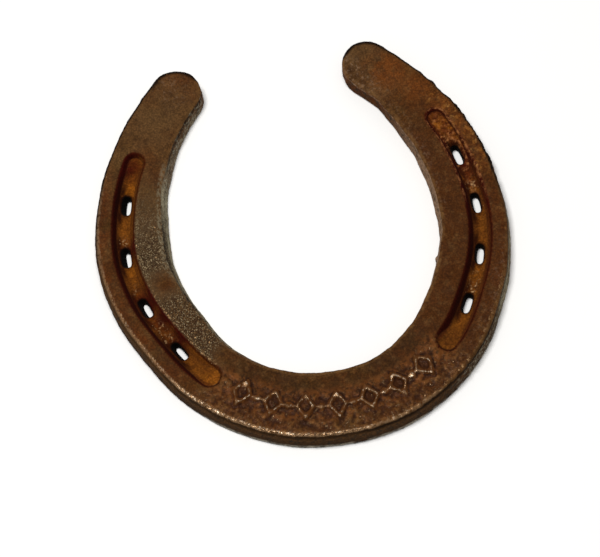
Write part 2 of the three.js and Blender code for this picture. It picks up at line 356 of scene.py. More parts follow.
class Survey:
    """Where each vertex of the shoe lies, in millimetres, and which part of the surface it is on."""

    def __init__(self, mesh):
        places, normals = places_and_normals(mesh)
        x, y, self.z = (places / MM).T
        self.normal_x, self.normal_y, self.normal_z = normals.T
        foot_shift = (MOULD_SHIFT - OUTER_LEAN) / 2
        self.follow_middle_line(x - foot_shift + MOULD_SHIFT * self.z / THICKNESS, y)
        self.measure_web()
        self.measure_creases()
        self.measure_nail_holes()
        self.name_creases()
        self.name_edges()

    def follow_middle_line(self, x, y):
        """How far along the bar each vertex lies, the left branch negative, and how far across it."""
        points, distances, forward, outward = middle_line()
        nearest = np.empty(len(x), int)
        for start in range(0, len(x), VERTICES_AT_ONCE):
            part = slice(start, start + VERTICES_AT_ONCE)
            gaps = (x[part, None] - points[:, 0]) ** 2 + (y[part, None] - points[:, 1]) ** 2
            nearest[part] = np.argmin(gaps, axis=1)
        steps = np.column_stack([x, y]) - points[nearest]
        beyond = np.sum(steps * forward[nearest], axis=1)
        self.across = np.sum(steps * outward[nearest], axis=1)
        self.along = distances[nearest] + beyond
        self.distance = np.abs(self.along)
        self.branch = distances[-1]

    def measure_web(self):
        """How far in from the outer and the inner edge of the ground side each vertex lies."""
        share = np.minimum(self.distance / self.branch, 1)
        heel_web = np.where(self.along < 0, LEFT_HEEL_WEB, RIGHT_HEEL_WEB)
        front = TOE_WEB + (QUARTER_WEB - TOE_WEB) * ease(share, 0, QUARTER_START_SHARE)
        rear = QUARTER_WEB + (heel_web - QUARTER_WEB) * ease(share, QUARTER_END_SHARE, 1)
        self.half_web = np.where(share < QUARTER_END_SHARE, front, rear) / 2
        past_heel = np.maximum(self.distance - self.branch, 0)
        self.outer_gap = self.half_web - np.hypot(np.maximum(self.across, 0), past_heel)
        self.inner_gap = self.half_web - np.hypot(np.maximum(-self.across, 0), past_heel)
        self.edge_gap = np.minimum(self.outer_gap, self.inner_gap)

    def measure_creases(self):
        """How far each vertex lies from the middle of its crease, and how far in from the crease's edge."""
        self.crease_end = self.branch - CREASE_HEEL_GAP
        share = (self.distance - CREASE_START) / (self.crease_end - CREASE_START)
        width = CREASE_TOE_WIDTH + (CREASE_HEEL_WIDTH - CREASE_TOE_WIDTH) * share
        inset = CREASE_TOE_INSET + (CREASE_HEEL_INSET - CREASE_TOE_INSET) * share
        self.crease_across = self.across - (self.half_web - inset - width / 2)
        straight_start = CREASE_START + CREASE_TOE_WIDTH / 2
        straight_end = self.crease_end - CREASE_HEEL_WIDTH / 2
        past_straight = self.distance - np.clip(self.distance, straight_start, straight_end)
        self.crease_gap = width / 2 - np.hypot(self.crease_across, past_straight)

    def measure_nail_holes(self):
        """How far each vertex lies from the mouth of the nearest nail hole, negative inside it."""
        left = self.along < 0
        first = np.where(left, LEFT_FIRST_NAIL_HOLE, RIGHT_FIRST_NAIL_HOLE)
        pitch = np.where(left, LEFT_NAIL_HOLE_PITCH, RIGHT_NAIL_HOLE_PITCH)
        aside = self.crease_across + np.where(left, 0, RIGHT_NAIL_HOLE_INSET)
        self.hole_gap = np.full(len(self.along), FAR_AWAY)
        for number in range(NAIL_HOLE_COUNT):
            ahead = (self.distance - (first + number * pitch)) / NAIL_HOLE_STRETCH
            gap = np.hypot(ahead, aside) - NAIL_HOLE_HALF_WIDTH
            self.hole_gap = np.minimum(self.hole_gap, gap)

    def name_creases(self):
        below_rim = ease(self.z, THICKNESS - 0.05, THICKNESS - 0.3)
        above_foot = ease(self.z, FLOOR_Z - 0.9, FLOOR_Z - 0.4)
        self.in_crease = below_rim * above_foot * ease(self.crease_gap, -0.4, 0.0)
        self.fill = self.crease_fill() * self.in_crease
        level_floor = ease(self.z, FLOOR_Z + 1.2, FLOOR_Z + 0.4) * ease(self.normal_z, 0.5, 0.85)
        self.crease_floor = self.in_crease * np.maximum(level_floor, ease(self.fill, 0.02, 0.3))
        self.crease_wall = self.in_crease * (1 - self.crease_floor)
        upper_wall = ease(self.z, THICKNESS - 1.0, THICKNESS - 0.5)
        self.crease_rim = between(self.crease_gap, -0.35, 0.25, 0.35) * upper_wall
        inside = ease(self.hole_gap, 1.4, 0.6) * ease(self.z, FLOOR_Z, FLOOR_Z - 0.55)
        self.hole = inside * ease(self.normal_z, -0.9, -0.6)

    def crease_fill(self):
        """How far the creases run out upwards near their ends."""
        toe_rise = TOE_END_RISE * ease(self.distance, CREASE_START + 12.5, CREASE_START + 2)
        left_rise = LEFT_END_RISE * ease(self.distance, self.crease_end - 9, self.crease_end - 1)
        right_rise = RIGHT_END_RISE * ease(self.distance, self.crease_end - 26, self.crease_end - 9)
        heel_rise = np.where(self.along < 0, left_rise, right_rise)
        level = FLOOR_Z + np.maximum(toe_rise, heel_rise)
        return np.maximum(level - self.z, 0) * ease(self.hole_gap, 0.1, 1.0)

    def name_edges(self):
        side = ease(self.edge_gap, 0.55, 0.1) * ease(self.normal_z, 0.8, 0.35)
        self.wall = side * (1 - self.in_crease)
        self.outer_wall = self.wall * (self.outer_gap < self.inner_gap)
        self.inner_wall = self.wall * (self.outer_gap >= self.inner_gap)
        upper_edge = ease(self.z, THICKNESS - 1.0, THICKNESS - 0.4)
        self.top_edge = between(self.edge_gap, 0.2, 0.8, 0.5) * upper_edge
        self.mark = ease(self.z, THICKNESS + 0.35, THICKNESS + 0.8)
        self.mark_foot = ease(self.z, THICKNESS + 0.02, THICKNESS + 0.12) * (1 - self.mark)
        self.top_side = ease(self.z, THICKNESS - 2.2, THICKNESS - 0.9) * (1 - self.in_crease)
        self.top = ease(self.normal_z, 0.6, 0.9) * ease(self.z, THICKNESS - 0.5, THICKNESS - 0.2)
        self.under = ease(self.normal_z, -0.5, -0.85)
        self.free = 1 - self.under
        self.body = self.free * (1 - self.hole)


# The shoe: a copy of the solid, remeshed finely and then worn and pitted

VOXEL = 0.47 * MM

# Use rubbed the marks down to this height. What faces this way mirrors the lamps to the camera, and glints
# are painted there
HIGHEST = 8.68
GLINT_FACING = np.array([-0.13, -0.25, 0.96])


def select_only(piece):
    bpy.ops.object.select_all(action="DESELECT")
    piece.select_set(True)
    bpy.context.view_layer.objects.active = piece


def apply_modifier(piece, name, kind, **settings):
    modifier = piece.modifiers.new(name, kind)
    for setting, value in settings.items():
        setattr(modifier, setting, value)
    select_only(piece)
    bpy.ops.object.modifier_apply(modifier=name)


def rough_casting():
    """A merged copy of the solid, cut anew into small even faces."""
    select_only(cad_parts["horseshoe"])
    bpy.ops.object.duplicate()
    shoe = bpy.context.object
    shoe.name = "worn_horseshoe"
    shoe.data.name = "worn_horseshoe"
    bpy.ops.object.mode_set(mode="EDIT")
    bpy.ops.mesh.select_all(action="SELECT")
    bpy.ops.mesh.remove_doubles(threshold=0.001 * MM)
    bpy.ops.mesh.normals_make_consistent(inside=False)
    bpy.ops.object.mode_set(mode="OBJECT")
    apply_modifier(shoe, "even faces", "REMESH", mode="VOXEL", voxel_size=VOXEL, adaptivity=0.0)
    apply_modifier(shoe, "soften", "SMOOTH", factor=0.5, iterations=2)
    return shoe


def weigh(shoe, name, weights):
    """A vertex group, with its weights rounded so that many vertices are added at once."""
    group = shoe.vertex_groups.new(name=name)
    steps = np.round(np.clip(weights, 0, 1) * 100).astype(int)
    for step in range(1, 101):
        members = np.nonzero(steps == step)[0]
        if len(members):
            group.add(members.tolist(), step / 100, "REPLACE")
    return group.name


def press(shoe, name, weights, height, size=None, middle=0.5, depth=2, direction="NORMAL"):
    """Pushes the surface out by up to height where the weights say, unevenly if size gives a grain."""
    group = weigh(shoe, name, weights)
    texture = None
    if size is not None:
        texture = bpy.data.textures.new(name, "CLOUDS")
        texture.noise_scale = size * MM
        texture.noise_depth = depth
    apply_modifier(
        shoe, name, "DISPLACE", texture=texture, texture_coords="LOCAL", direction=direction,
        mid_level=middle if texture else 0.0, strength=height * MM, vertex_group=group,
    )


def soften(shoe, name, weights, factor, iterations):
    """Smooths the surface where the weights say."""
    group = weigh(shoe, name, weights)
    apply_modifier(shoe, name, "SMOOTH", factor=factor, iterations=iterations, vertex_group=group)


# Soft round places on the bar: (along, across, reach, strength)
SMOOTH_SPOTS = [(-74, -7, 9, 1), (-40, -9, 9, 1)]
RUST_LUMPS = [(124, 5.5, 6, 0.6), (117, 7.5, 8, 1), (109, 8, 8, 1), (101, 8, 7, 1)]
HEEL_PITS = [(146.5, -5.4, 1.9, 1), (149.2, -4.4, 1.7, 1), (144.0, -5.9, 1.5, 1)]

# The same, with the second number across from the middle of the crease
CRYSTAL_SPOTS = [
    (-93, 0.4, 2.5, 1), (-77, 0.4, 2.5, 1), (-62, 0.4, 5, 1), (-58, 0.4, 4, 1),
    (60, 0.4, 5, 1), (63, 0.4, 4.5, 1), (86, 0.4, 3, 1), (95, 0.4, 3, 1),
]

# Uneven stretches of the walls: name, start and end along the bar, fade, and shift to the right
INNER_SHIFTS = [
    ("narrow right quarter", 80, 99, 10, 0.7),
    ("full right heel", 121, 130, 9, -0.9),
    ("full right shoulder", 36, 50, 10, -0.6),
    ("full left heel", -134, -120, 9, 0.6),
    ("full left quarter", -76, -60, 9, 0.4),
]
OUTER_SHIFTS = [
    ("worn right quarter", 74, 92, 10, -0.45),
    ("worn right heel", 127, 136, 7, -0.6),
    ("full left heel tip", -149, -141, 6, -0.6),
]


def where_grainy(survey):
    """Where the casting sand left a fine grain: on the inside of the left branch."""
    a, c = survey.along, survey.across
    left = ease(a, -122, -84) * ease(a, -36, -46) * ease(c, 0.8, -1.5)
    rough = np.clip(left * (1 - spots(a, c, SMOOTH_SPOTS)), 0, 1)
    return rough * ease(survey.z, 3.0, 4.5) * (1 - survey.in_crease)


def where_scaly(survey):
    """The toe, where thick old scale lies round the marks."""
    middle = between(survey.along, -36, 38, 6) * ease(survey.across, -6.0, -2.0)
    return middle * ease(survey.z, 5.5, 6.8)


def where_crusted(survey):
    """Where rust has grown into lumps, on the outside of the right branch near its heel."""
    return np.clip(spots(survey.along, survey.across, RUST_LUMPS) * 1.5, 0, 1)


def where_sparkling(survey):
    """Small crystalline spots in the floors of the creases."""
    return spots(survey.along, survey.crease_across, CRYSTAL_SPOTS) * survey.crease_floor


def where_bevelled(survey):
    """Where use wore the outer edge to a slope: round the toe and up the left branch."""
    return between(survey.along, -118, 26, 18) * ease(survey.outer_gap, 1.7, 0.5) * survey.top_side


def shift_walls(shoe, survey):
    """The mould was finished by hand, so the walls aren't quite even."""
    for gap, shifts in ((survey.inner_gap, INNER_SHIFTS), (survey.outer_gap, OUTER_SHIFTS)):
        near_wall = ease(gap, 4.0, 0.0)
        for name, start, end, fade, shift in shifts:
            press(shoe, name, between(survey.along, start, end, fade) * near_wall, shift, direction="X")


def fill_creases(shoe, survey):
    press(shoe, "run-out crease ends", survey.fill / DEEPEST_FILL, DEEPEST_FILL, direction="Z")
    hole_mouth = ease(survey.hole_gap, 0.9, 0.3) * ease(survey.z, FLOOR_Z + 0.4, FLOOR_Z)
    soften(shoe, "rounded nail holes", hole_mouth, factor=0.6, iterations=12)
    press(shoe, "scale in the nail holes", survey.hole * (survey.along < 0), 0.2)


def slope_edges(shoe, survey):
    press(shoe, "worn outer edge", where_bevelled(survey), -0.36)
    inner_slope = between(survey.along, -142, -30, 10) * ease(survey.inner_gap, 1.5, 0.4)
    press(shoe, "sloping inner edge", inner_slope * survey.top_side, -0.45)


def roughen_skin(shoe, survey):
    press(shoe, "waves", survey.body * 0.8, 0.35, size=9.0, depth=1)
    press(shoe, "ripples", survey.body, 0.18, size=2.6)
    press(shoe, "grain", where_grainy(survey) * survey.body, 0.55, size=1.0, depth=1)


def scale_toe(shoe, survey):
    toe = where_scaly(survey) * survey.body
    marks = np.maximum(survey.mark, survey.mark_foot)
    press(shoe, "scale at the toe", toe * (1 - 0.5 * marks), 0.85, size=3.2)
    press(shoe, "lumps at the toe", toe * (1 - marks), 0.75, size=1.2, middle=0.45)
    soften(shoe, "rounded marks", np.maximum(marks, toe * 0.3), factor=0.5, iterations=3)
    press(shoe, "chipped marks", marks, 0.8, size=2.0, middle=0.68)


def grow_rust(shoe, survey):
    a = survey.along
    press(shoe, "lumps", where_crusted(survey) * survey.body, 0.65, size=1.6, middle=0.55)
    lumpy_floor = between(a, 98, 122, 5) * survey.crease_floor
    press(shoe, "lumps in the crease", lumpy_floor, 0.65, size=0.95)
    press(shoe, "sparkling spots", where_sparkling(survey), 0.7, size=0.8, depth=1, middle=0.4)
    chewed = between(a, 98, 131, 7) * ease(survey.outer_gap, 2.2, 0.3) * survey.free
    press(shoe, "chewed edge", chewed, 0.8, size=3.4, depth=1, middle=0.6)


def wear_edges(shoe, survey):
    press(shoe, "frayed crease rims", survey.crease_rim * survey.body, 0.3, size=1.1)
    toe = between(survey.along, -80, 40, 12)
    press(shoe, "worn toe edge", toe * survey.top_edge, 0.28, size=1.3)
    press(shoe, "worn edges", (1 - toe) * survey.top_edge * survey.body, 0.22, size=1.6)
    press(shoe, "wall pits", survey.wall * survey.free, 0.3, size=1.9, middle=0.6)


def nick(shoe, survey):
    """A burr on the inner wall of the right branch, and pits in the right heel."""
    a = survey.along
    burr = ease(np.hypot(a - 68.5, (survey.z - 2.5) * 1.4), 1.8, 0.2) * survey.inner_wall
    press(shoe, "burr", burr, 0.6)
    press(shoe, "heel pits", spots(a, survey.across, HEEL_PITS) * survey.top, -0.9)


def wear(shoe, survey):
    """Everything that the mould, sand, rust and use did to the surface, in that order."""
    shift_walls(shoe, survey)
    fill_creases(shoe, survey)
    slope_edges(shoe, survey)
    roughen_skin(shoe, survey)
    scale_toe(shoe, survey)
    grow_rust(shoe, survey)
    wear_edges(shoe, survey)
    nick(shoe, survey)


def settle(shoe):
    """Keeps the shoe's lowest points on the table, and its highest ones rubbed down to one level."""
    places = np.empty(len(shoe.data.vertices) * 3, np.float32)
    shoe.data.vertices.foreach_get("co", places)
    heights = places[2::3]
    heights[heights < 0] = 0
    heights[heights > HIGHEST * MM] = HIGHEST * MM
    shoe.data.vertices.foreach_set("co", places)
    shoe.data.update()


# The masks: where each part of the finish shows, from 0 to 1

def hollows(mesh, steps):
    """How deep each vertex lies below the surface around it, in millimetres. Crests are negative."""
    places, normals = places_and_normals(mesh)
    count = len(places)
    ends = np.empty(len(mesh.edges) * 2, int)
    mesh.edges.foreach_get("vertices", ends)
    ends = ends.reshape(-1, 2)
    starts = np.concatenate([ends[:, 0], ends[:, 1]])
    stops = np.concatenate([ends[:, 1], ends[:, 0]])
    neighbours = np.bincount(starts, minlength=count)
    smooth = places
    for _ in range(steps):
        sums = [np.bincount(starts, smooth[stops, axis], count) for axis in range(3)]
        smooth = np.column_stack(sums) / neighbours[:, None]
    return np.sum((smooth - places) * normals, axis=1) / MM


def glint_sides(mesh):
    """Where the worn surface leans a little towards the toe and the left, halfway between the camera and
    the lamps, so that it mirrors them: glints are painted there.
    """
    _, normals = places_and_normals(mesh)
    return ease(normals @ GLINT_FACING, 0.93, 0.985)


# Soft round places on the bar: (along, across, reach, strength)
STAINS = [(140, 2, 11, 1), (130, 2.5, 10, 0.8), (121, 5, 9, 0.9), (112, 8, 10, 0.8), (102, 8, 8, 0.7)]
RED_SPOTS = [(-150, 1, 11, 1), (-122, -5, 12, 1)]
GREEN_SPOTS = [(150, 0, 18, 1), (142, -5, 12, 1), (-136, 0, 26, 1), (-118, 3, 16, 0.7)]
BRIGHT_FLOOR = [
    (-108.5, 1, 6.5, 1.3), (-38, -0.5, 6, 0.3), (-85, 1, 7, 0.7), (-70, 1, 6, 0.45),
    (111, 3, 12, 0.85), (94, 1, 8, 0.8),
]

# The same, with the second number across from the middle of the crease
SHADED_FLOOR = [
    (41, -1, 9, 1), (61, 0, 5, 0.5), (80, 0, 6, 0.5),
    (-119, 1, 8, 0.6), (-62, 0, 6, 0.5), (-79, 0, 5, 0.5), (-44, -1, 6, 0.6),
]
MAROON_SPOTS = [
    (-72, -2.8, 8, 1.2), (-64, -3.2, 7, 1.2), (-56, -3.2, 7, 1.1), (-90, -3, 6, 1),
    (-117, 1.5, 7, 1), (104, 2, 8, 1.2),
]


def crease_masks(survey):
    a, z = survey.along, survey.z
    left = a < 0
    in_crease = np.maximum(survey.crease_floor, survey.crease_wall)
    facing_right = 0.96 * survey.normal_x - 0.28 * survey.normal_y
    rightwards = np.where(left, -survey.crease_across, survey.crease_across)
    upper_wall = ease(z, FLOOR_Z - 0.2, FLOOR_Z + 0.7)
    lower_wall = ease(z, FLOOR_Z + 1.6, FLOOR_Z + 0.6)
    # The walls that face the key lamp are painted a lighter brown, as lit, and so are the lower walls
    lit_and_low_side = np.maximum(ease(rightwards, 0.0, 1.0) * np.where(left, 1.0, 0.15), lower_wall * 0.5)
    rim_height = ease(z, THICKNESS + 0.1, THICKNESS - 0.2)
    left_of_hole = ease(survey.hole_gap, 3.0, 1.0) * ease(rightwards, 0.2, -1.6)
    round_hole = ease(survey.hole_gap, 1.1, 0.2) * 0.6
    red_sides = ease(survey.crease_gap, 1.8, 0.7) * between(a, 88, 123, 6) * 0.75
    maroon = np.maximum(spots(a, survey.crease_across, MAROON_SPOTS), red_sides)
    return {
        "crease_floor": survey.crease_floor,
        "bright_floor": spots(a, survey.across, BRIGHT_FLOOR) * 1.4,
        "shaded_floor": spots(a, survey.crease_across, SHADED_FLOOR) * 0.8,
        # Painted shade on the floor beside the wall that faces away from the key lamp
        "floor_wall_shade": survey.crease_floor * ease(rightwards, -1.7, -2.6),
        "rough_floor": between(a, 94, 124, 7) * in_crease,
        "crease_wall": survey.crease_wall,
        # Painted shade on the crease walls that face away from the key lamp, darker with depth
        "shaded_crease_wall": survey.crease_wall * ease(facing_right, 0.05, 0.45) * upper_wall,
        "crease_shade_depth": ease(z, THICKNESS - 0.1, THICKNESS - 1.1),
        "lit_and_low_side": survey.crease_wall * lit_and_low_side,
        # Painted shade: a dark line just inside each crease's rim
        "rim_shade_line": between(survey.crease_gap, 0.05, 0.6, 0.2) * rim_height,
        "maroon": in_crease * maroon,
        # Painted shade round the mouths of the nail holes, deepest on their left
        "shade_by_hole": np.maximum(left_of_hole, round_hole) * in_crease,
        "hole": survey.hole,
        "sparkling": where_sparkling(survey),
    }


def wall_masks(survey):
    a, z = survey.along, survey.z
    outer, inner = survey.outer_wall, survey.inner_wall
    light_outer = outer * between(a, 40, 78, 12) * ease(z, 1.5, 3.0)
    grey_outer = outer * between(a, 34, 86, 14) * 0.8
    worn_inner = 1 - 0.6 * between(a, -134, -116, 8)
    grey_inner = inner * ease(a, -22, -56) * ease(a, -152, -141) * worn_inner
    return {
        "height": z / THICKNESS,
        "outer_wall": outer,
        "inner_wall": inner,
        "toe_wall": outer * between(a, -80, 48, 14),
        # A light line painted along the foot of the toe's wall, as the table's reflection
        "toe_foot_reflection": between(z, 0.5, 1.5, 0.3) * between(a, -30, 44, 10),
        "right_inner": inner * ease(a, 25, 50) * ease(a, 138, 106),
        "left_heel_wall": inner * ease(a, -118, -138),
        "light_wall": np.maximum(inner * ease(a, -25, -60), light_outer),
        "grey_wall": np.maximum(grey_inner, grey_outer),
        "bevel_line": inner * ease(a, 35, 60) * between(z, 6.3, 6.9, 0.4),
    }


def edge_masks(survey):
    a, z = survey.along, survey.z
    outer_gap, inner_gap = survey.outer_gap, survey.inner_gap

    # Painted shade: thin dark lines along the outer edges towards the heels, under the left inner edge and
    # round the toe
    rear_line = np.maximum(ease(a, 80, 98), ease(a, -78, -102)) * ease(outer_gap, 1.15, 0.65)
    heel_line = ease(survey.distance, 140, 148) * ease(outer_gap, 1.7, 1.0)
    outer_line = np.maximum(rear_line, heel_line) * ease(z, 4.2, 6.4)
    inner_line = np.maximum(between(a, -150, -120, 5), between(a, -97, -62, 6))
    inner_line *= between(z, 6.0, 6.5, 0.5) * ease(inner_gap, 0.8, 0.3) * 0.7
    toe_line = np.maximum(between(a, 8, 88, 8) * 0.8, between(a, -46, 0, 8) * 0.4)
    toe_line *= between(z, 6.1, 6.7, 0.5) * survey.outer_wall

    ridge = between(outer_gap, 0.4, 1.2, 0.25) * ease(z, THICKNESS - 1.1, THICKNESS - 0.6)
    along_ridge = np.maximum.reduce([
        between(a, -44, 4, 8), between(a, -66, 24, 6) * 0.55, between(a, -104, -60, 8) * 0.5,
    ])
    inner_rim = survey.crease_rim * (survey.crease_across < 0) * between(a, -106, -44, 6)
    return {
        "top_edge": survey.top_edge,
        "shaded_edge_line": np.maximum.reduce([outer_line, inner_line, toe_line]),
        "grey_edge": between(a, -116, -80, 8) * between(inner_gap, 0.2, 1.2, 0.7) * survey.top_side,
        "toe_bevel": between(a, -90, 44, 10) * ease(outer_gap, 0.9, 0.4) * ease(z, 5.5, 6.2),
        "polished": along_ridge * ridge,
        "flecked": np.maximum(inner_rim, ridge * between(a, -120, 60, 10)),
    }


def skin_masks(survey):
    a, c = survey.along, survey.across
    grainy = where_grainy(survey)
    outside = ease(c, 4, 8)
    reddened = np.maximum.reduce([
        spots(a, c, RED_SPOTS), outside * between(a, -110, -50, 15),
        outside * between(a, 60, 90, 15) * 0.35, between(a, 2, 16, 8) * ease(c, 2, -2) * 0.5,
    ])
    speckled = np.maximum.reduce([
        ease(a, 130, 146) * ease(c, 1, -4), blob(a, c, (-146, 1), 8),
        between(a, 88, 128, 8) * between(survey.inner_gap, 0.8, 2.6, 0.8) * 0.5,
        between(a, 34, 72, 8) * ease(c, 4.5, 8.0) * 0.4,
    ])
    return {
        "plain": between(a, 30, 115, 12),
        "stained": spots(a, c, STAINS) * 1.3,
        "reddened": reddened,
        "greened": np.maximum(spots(a, c, GREEN_SPOTS), grainy),
        "grainy": grainy,
        "grey_grain": grainy * (0.3 + 0.7 * ease(a, -58, -76)),
        "crusted": where_crusted(survey),
        "scaly": where_scaly(survey),
        "speckled": speckled * survey.top_side,
        "toe_inside": between(a, -34, 34, 8) * ease(c, 4, 0) * survey.top_side,
        "toe_middle": between(a, -34, 36, 6) * between(c, -3.5, 4.0, 2.5) * survey.top_side,
        "mark": survey.mark,
        "mark_foot": survey.mark_foot,
        "under": survey.under,
    }


def relief_masks(mesh):
    """Masks that the worn surface itself gives: hollows, crests, and slopes that mirror the lamps."""
    small = hollows(mesh, 5) / 0.1
    return {
        "hollow": small,
        "crest": -small,
        "sunken": hollows(mesh, 30) / 0.3,
        "glint_side": glint_sides(mesh),
    }


def paint_masks(mesh, survey):
    """Keeps the masks on the mesh, for the finish to read, and returns their names."""
    masks = {
        **crease_masks(survey), **wall_masks(survey), **edge_masks(survey), **skin_masks(survey),
        **relief_masks(mesh),
    }
    for name, values in masks.items():
        layer = mesh.attributes.new(name, "FLOAT", "POINT")
        layer.data.foreach_set("value", np.clip(values, 0, 1).astype(np.float32))
    return list(masks)


# The finish

SMOOTH_RUST = 0.62
ROUGH_RUST = 0.8
SHINY_SCALE = 0.38
DULL = 1.0
GLINT = 0.22
RELIEF_DEPTH = 0.2 * MM


def paint_shade(red, green, blue):
    """A paint chart's 0 to 255 values as the shader's linear ones."""
    def linear(value):
        share = value / 255
        return share / 12.92 if share <= 0.04045 else ((share + 0.055) / 1.055) ** 2.4
    return colour(linear(red), linear(green), linear(blue))


CHOCOLATE = paint_shade(71, 39, 13)
OLIVE = paint_shade(83, 57, 24)
HEEL_OLIVE = paint_shade(90, 63, 34)
DARK_OLIVE = paint_shade(56, 36, 14)
BRICK = paint_shade(86, 44, 13)
STAIN = paint_shade(104, 56, 18)
TOE_RUST = paint_shade(108, 62, 25)
FLOOR_BROWN = paint_shade(125, 71, 20)
FLOOR_SHADE = paint_shade(66, 26, 8)
ORANGE_RUST = paint_shade(139, 81, 21)
AMBER_RUST = paint_shade(150, 86, 20)
DARK_RED_SHADE = paint_shade(45, 7, 2)
CREASE_SHADE = paint_shade(74, 30, 12)
CREASE_RED = paint_shade(91, 42, 14)
MAROON = paint_shade(62, 10, 6)
HOLE_MOUTH_SHADE = paint_shade(38, 8, 2)
HOLE_SHADE_BLACK = paint_shade(8, 5, 4)
EDGE_SHADE_BLACK = paint_shade(18, 10, 6)
DIRT_AND_SHADE = paint_shade(36, 16, 7)
WALL_GREY = paint_shade(160, 150, 122)
WALL_BROWN = paint_shade(100, 73, 46)
WALL_LIGHT = paint_shade(170, 162, 138)
WALL_RUST = paint_shade(86, 56, 30)
INNER_BROWN = paint_shade(141, 111, 86)
EDGE_LIGHT = paint_shade(160, 130, 104)
WALL_DARK = paint_shade(48, 42, 34)
TOE_WALL_DARK = paint_shade(57, 38, 22)
TOE_WALL_BROWN = paint_shade(84, 57, 32)
TABLE_REFLECTION_GREY = paint_shade(176, 166, 146)
GRAIN_GREY = paint_shade(82, 67, 46)
GRAIN_DARK = paint_shade(40, 27, 14)
GRAIN_LIGHT = paint_shade(142, 123, 92)
CRYSTAL_AND_GLINT = paint_shade(168, 130, 88)
CRUST_TAN = paint_shade(152, 98, 40)
GOLDEN_SPECK = paint_shade(176, 126, 66)
FLECK_TAN = paint_shade(160, 104, 60)
BARE_IRON_AND_GLINT = paint_shade(126, 98, 70)
PAINTED_GLINT = paint_shade(216, 196, 170)
RUBBED_BROWN = paint_shade(112, 74, 36)
DUSTY_BROWN = paint_shade(107, 75, 41)


class Finish:
    """A material in the making: its nodes, the place on the shoe in millimetres, and the painted masks."""

    def __init__(self, name, mask_names):
        self.material = bpy.data.materials.new(name)
        self.material.use_nodes = True
        self.tree = self.material.node_tree
        self.tree.nodes.clear()
        coordinates = put(self.tree, "ShaderNodeTexCoord").outputs["Object"]
        values = {"Vector": coordinates, "Scale": (1 / MM, 1 / MM, 1 / MM)}
        self.spot = put(self.tree, "ShaderNodeMapping", values).outputs[0]
        self.mask = {name: attribute(self.tree, name) for name in mask_names}

    def clouds(self, size, cover, blur=0.08, ragged=0.55, draw=0.0):
        values = {
            "Vector": self.spot, "Size": size, "Cover": cover, "Blur": blur, "Ragged": ragged, "Draw": draw,
        }
        return put(self.tree, "ShaderNodeGroup", values, node_tree=PATCHES).outputs["Mask"]

    def crust(self, size, flecks, draw):
        values = {"Vector": self.spot, "Size": size, "Flecks": flecks, "Draw": draw}
        outputs = put(self.tree, "ShaderNodeGroup", values, node_tree=CRUST).outputs
        return outputs["Height"], outputs["Fleck"]

    def find(self, masks):
        """Masks may be given by name."""
        return [self.mask[mask] if isinstance(mask, str) else mask for mask in masks]

    def where_all(self, *masks):
        return both(self.tree, *self.find(masks))

    def where_any(self, *masks):
        return either(self.tree, *self.find(masks))

    def less(self, mask):
        return calc(self.tree, "SUBTRACT", 1.0, self.mask[mask])

    def lay(self, under, shade, *masks, strength=1.0):
        """One layer of colour over the ones below it, where all of the masks are."""
        amount = self.where_all(*masks)
        if strength != 1.0:
            amount = calc(self.tree, "MULTIPLY", amount, strength)
        return mix_colours(self.tree, amount, under, shade)


def brown_skin(on):
    """The brown skin in broad patches."""
    olive = on.where_all(on.clouds(11.0, 0.3, 0.16, draw=2.0), on.less("plain"))
    skin = mix_colours(on.tree, olive, CHOCOLATE, OLIVE)
    reddish = calc(on.tree, "MULTIPLY_ADD", on.mask["reddened"], 0.8, 0.15)
    skin = on.lay(skin, BRICK, reddish, on.clouds(7.0, 0.6, 0.14, draw=7.0))
    skin = on.lay(skin, HEEL_OLIVE, "greened", on.clouds(6.0, 0.85, 0.2, draw=11.0))
    skin = on.lay(skin, DARK_OLIVE, "toe_inside", on.clouds(3.0, 0.6, 0.16, 0.6, 37.0), strength=0.7)
    skin = on.lay(skin, STAIN, "stained", on.clouds(4.5, 0.66, 0.12, 0.62, 5.0), strength=0.9)
    dust = on.clouds(3.0, 0.5, 0.1, draw=3.0)
    skin = on.lay(skin, DUSTY_BROWN, "top_edge", on.less("scaly"), dust, strength=0.6)
    skin = on.lay(skin, DUSTY_BROWN, on.clouds(2.4, 0.34, 0.12, 0.6, 25.0), strength=0.4)
    return on.lay(skin, DIRT_AND_SHADE, on.clouds(3.0, 0.36, 0.12, 0.6, 26.0), strength=0.36)


def crease_floors(on):
    """Brown and orange floors."""
    floor = mix_colours(on.tree, on.clouds(3.2, 0.4, 0.14, draw=8.0), FLOOR_BROWN, ORANGE_RUST)
    floor = on.lay(floor, AMBER_RUST, "bright_floor", on.clouds(2.6, 0.7, 0.14, draw=9.0))
    floor = on.lay(floor, CHOCOLATE, "shaded_floor", on.clouds(3.0, 0.85, 0.2, draw=35.0))
    floor = on.lay(floor, FLOOR_SHADE, on.clouds(1.4, 0.42, 0.12, 0.65, 36.0), strength=0.4)
    # Painted shade beside the wall that faces away from the key lamp
    floor = on.lay(floor, FLOOR_SHADE, "floor_wall_shade", strength=0.75)
    return on.lay(floor, CREASE_RED, "rough_floor", on.clouds(2.6, 0.6, 0.14, 0.6, 34.0))


def crease_walls(on):
    """Dark red walls, with painted shade on their left, which faces away from the key lamp, and lighter
    brown rust on their right, painted as lit, and near their foot.
    """
    wall = mix_colours(on.tree, on.clouds(4.0, 0.5, 0.12, draw=10.0), CREASE_SHADE, CREASE_RED)
    # Lighter brown on the side that faces the key lamp, painted as lit
    wall = on.lay(wall, FLOOR_BROWN, "lit_and_low_side", strength=0.8)
    # Painted shade on the walls that face away from the key lamp
    wall_shade = mix_colours(on.tree, on.mask["crease_shade_depth"], CREASE_SHADE, DARK_RED_SHADE)
    return on.lay(wall, wall_shade, "shaded_crease_wall")


